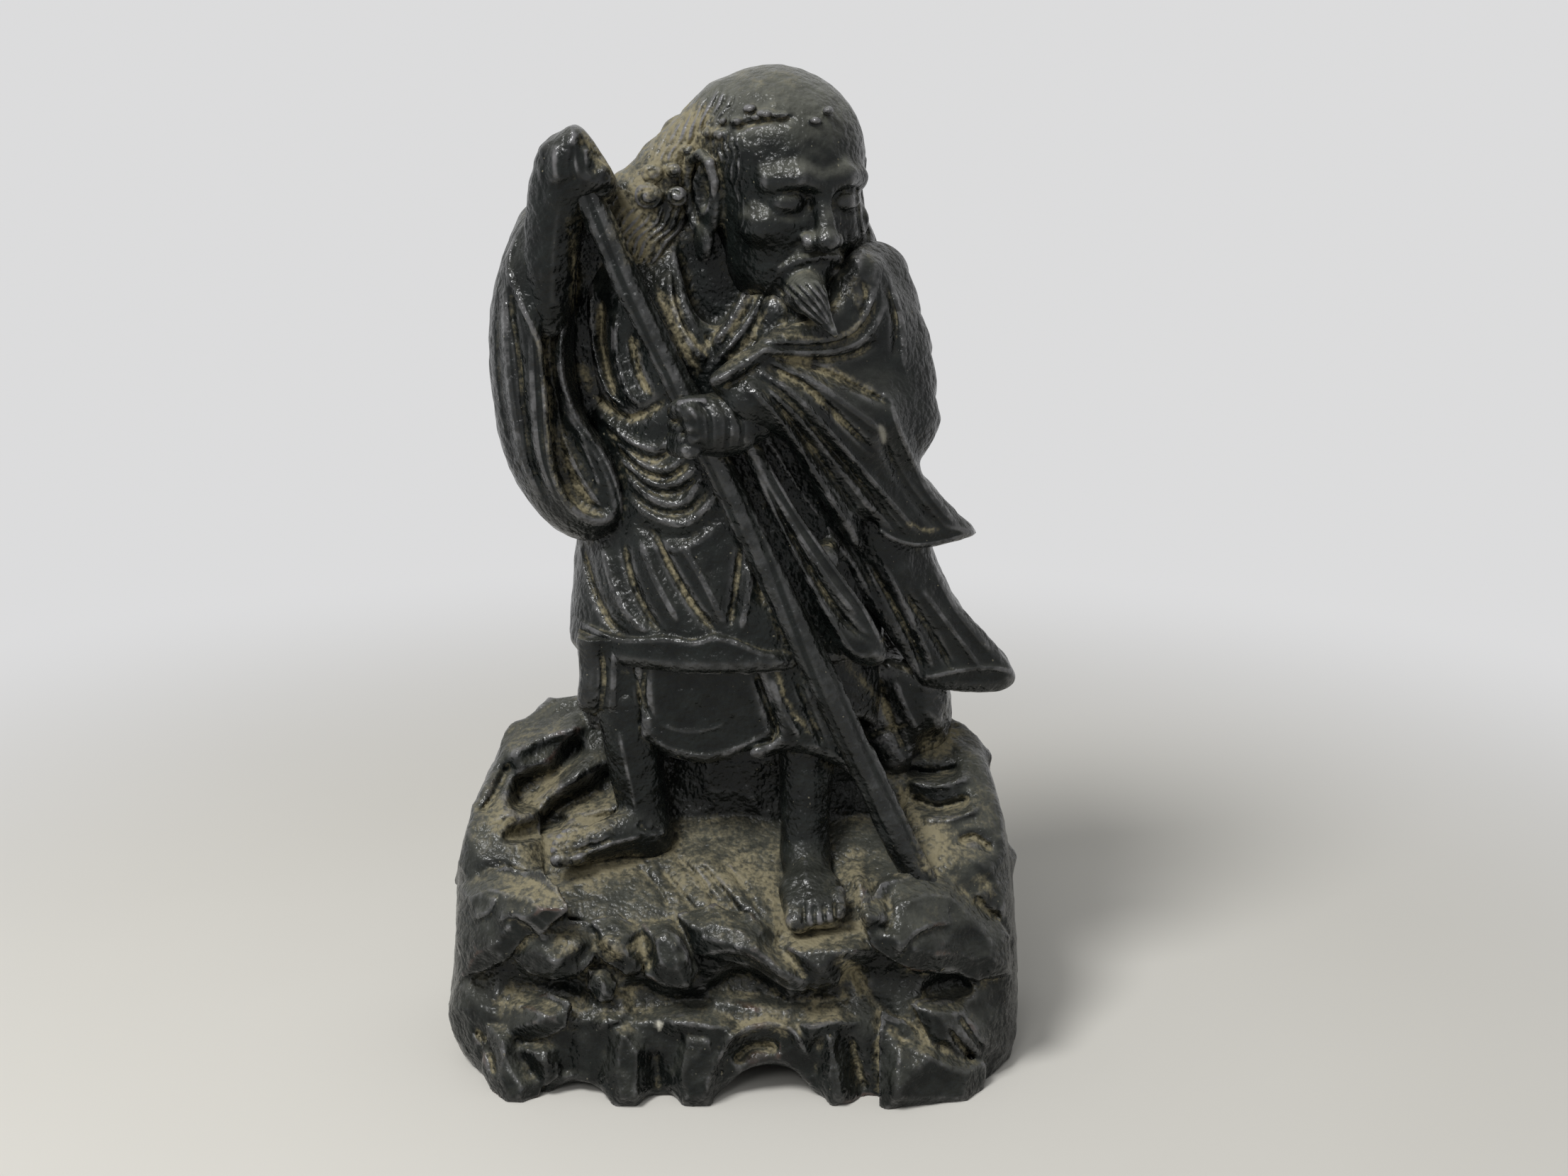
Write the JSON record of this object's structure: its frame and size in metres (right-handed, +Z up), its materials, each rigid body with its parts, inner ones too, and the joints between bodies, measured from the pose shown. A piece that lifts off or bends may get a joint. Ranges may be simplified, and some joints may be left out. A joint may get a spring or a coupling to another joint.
{
  "type": "okimono figure",
  "caption": "Cast iron okimono of a bald, bearded old wanderer in wind-blown robes, leaning on a slanted staff and standing barefoot on a hollow rock.",
  "frame": {"origin": "on the floor under the middle of the object's bounding box", "axes": "+Z up; the figure faces -Y; +X is the viewer's right, the figure's left"},
  "size_m": [0.166, 0.091, 0.2703],
  "materials": {
    "rock": "worn black lacquer over sand-cast grain",
    "robe": "worn black lacquer over sand-cast grain",
    "sleeves": "worn black lacquer over sand-cast grain",
    "flesh": "worn black lacquer over sand-cast grain",
    "head": "worn black lacquer over sand-cast grain",
    "staff": "worn black lacquer over sand-cast grain",
    "hardware": "plain"
  },
  "bodies": {
    "root": {"rock_base": "rock", "robe": "robe", "under_robe": "robe", "robe_train": "robe", "right_sleeve": "sleeves", "left_sleeve": "sleeves", "sleeve_lobe": "sleeves", "sleeve_tail": "sleeves", "right_leg": "flesh", "left_leg": "flesh", "right_forearm": "flesh", "left_hand": "flesh", "head": "head", "staff": "staff", "neck_dowel": "hardware", "sleeve_dowels": "hardware", "arm_dowels": "hardware", "foot_dowels": "hardware", "tie_rod": "hardware", "tie_nut": "hardware", "tie_washer": "hardware"}
  },
  "joints": []
}
